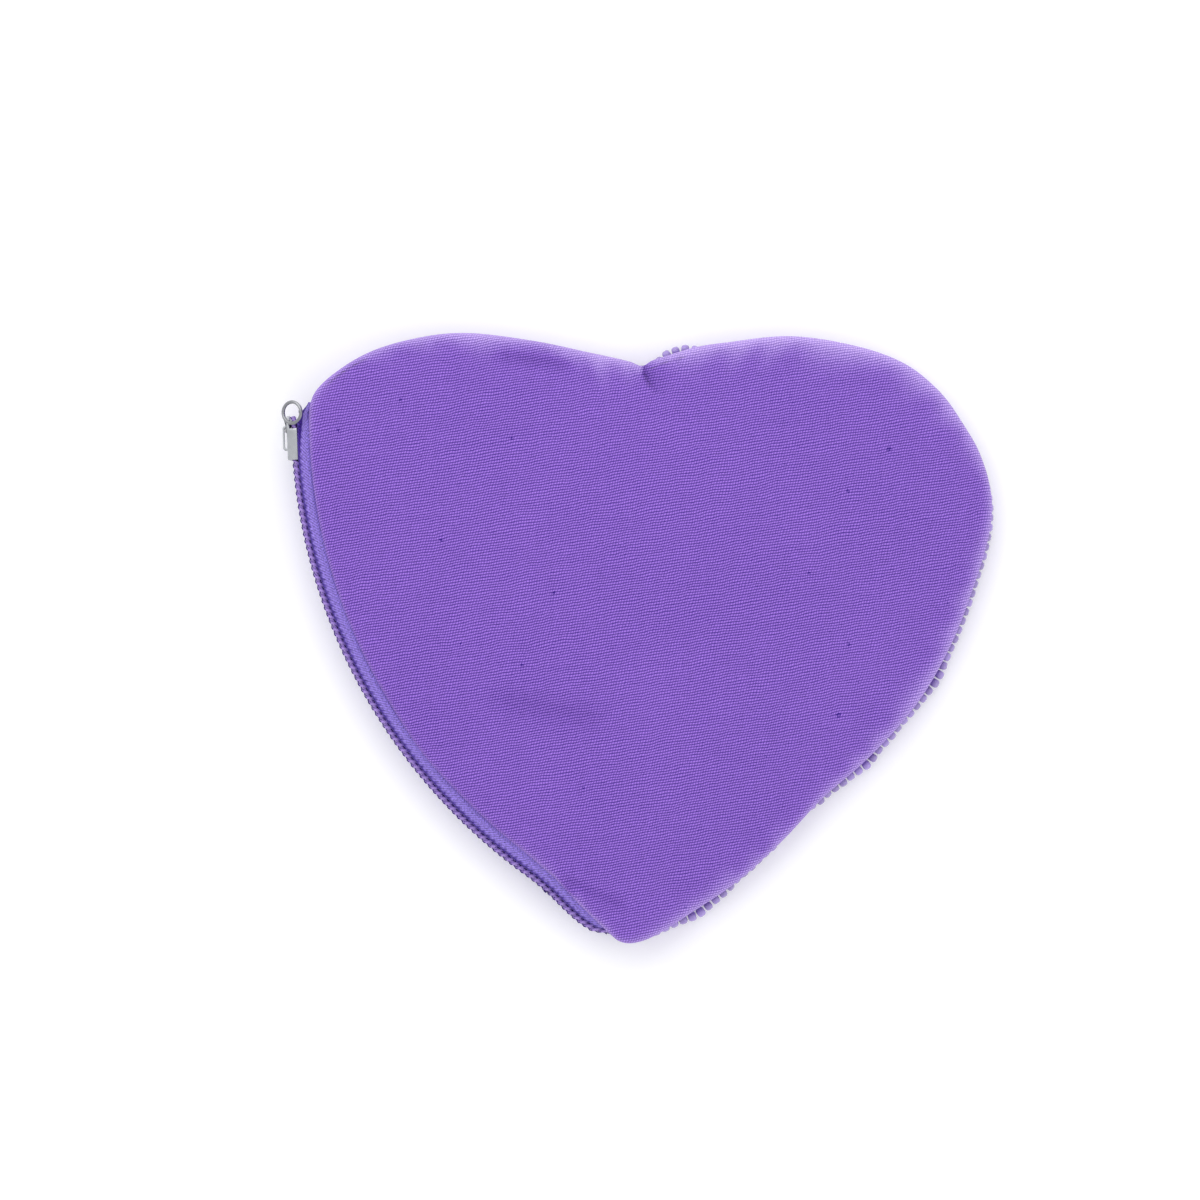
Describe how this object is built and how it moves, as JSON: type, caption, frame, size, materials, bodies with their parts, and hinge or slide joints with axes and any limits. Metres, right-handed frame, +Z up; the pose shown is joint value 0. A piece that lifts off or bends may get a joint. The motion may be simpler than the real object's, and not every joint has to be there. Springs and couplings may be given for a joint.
{
  "type": "heart purse",
  "caption": "Flat padded heart purse with a plain cloth back, a beaded front and a curved coil zip along one side.",
  "frame": {"origin": "middle of the heart's outline on the table, under the beaded front", "axes": "+Z up from the table, through the beaded front and the cloth back; +X across both lobes, away from the zip; the heart's tip points to -Y"},
  "size_m": [0.1352, 0.1169, 0.0147],
  "materials": {
    "cotton": "plain weave",
    "wadding": "soft",
    "lining": "plain weave",
    "beads": "lustre",
    "tape": "twill",
    "coil": "drawn",
    "thread": "twisted",
    "metal": "plated"
  },
  "bodies": {
    "pouch": {"back_panel": "cotton", "back_padding": "wadding", "back_lining": "lining", "front_panel": "cotton", "front_padding": "wadding", "front_lining": "lining", "seam_allowance": "cotton", "bead_field": "beads", "bead_row_outer": "beads", "bead_row_second": "beads", "back_tape_ends": "tape", "front_tape": "tape", "back_coil_ends": "coil", "front_coil": "coil", "end_tacks": "thread"},
    "back_lip": {"lip_panel": "cotton", "lip_padding": "wadding", "lip_lining": "lining", "lip_tape": "tape", "lip_coil": "coil"},
    "slider": {"slider_body": "metal"},
    "pull": {"ring_pull": "metal"}
  },
  "joints": [
    {"name": "mouth_opening", "type": "hinge", "parent": "pouch", "child": "back_lip", "pos_m": [-0.06239, 0.04307, 0.01335], "axis": [-0.4688, 0.8833, 0], "range_deg": [0, 45]},
    {"name": "slider_travel", "type": "hinge", "parent": "pouch", "child": "slider", "pos_m": [0.04104, 0.04185, 0.007], "axis": [0, 0, 1], "range_deg": [0, 51.66], "deforming": ["lip_coil", "back_coil_ends", "front_coil"]},
    {"name": "pull_swing", "type": "hinge", "parent": "slider", "child": "pull", "pos_m": [-0.06699, 0.03998, 0.007], "axis": [-0.9993, -0.037, 0], "range_deg": [-45, 12]}
  ]
}
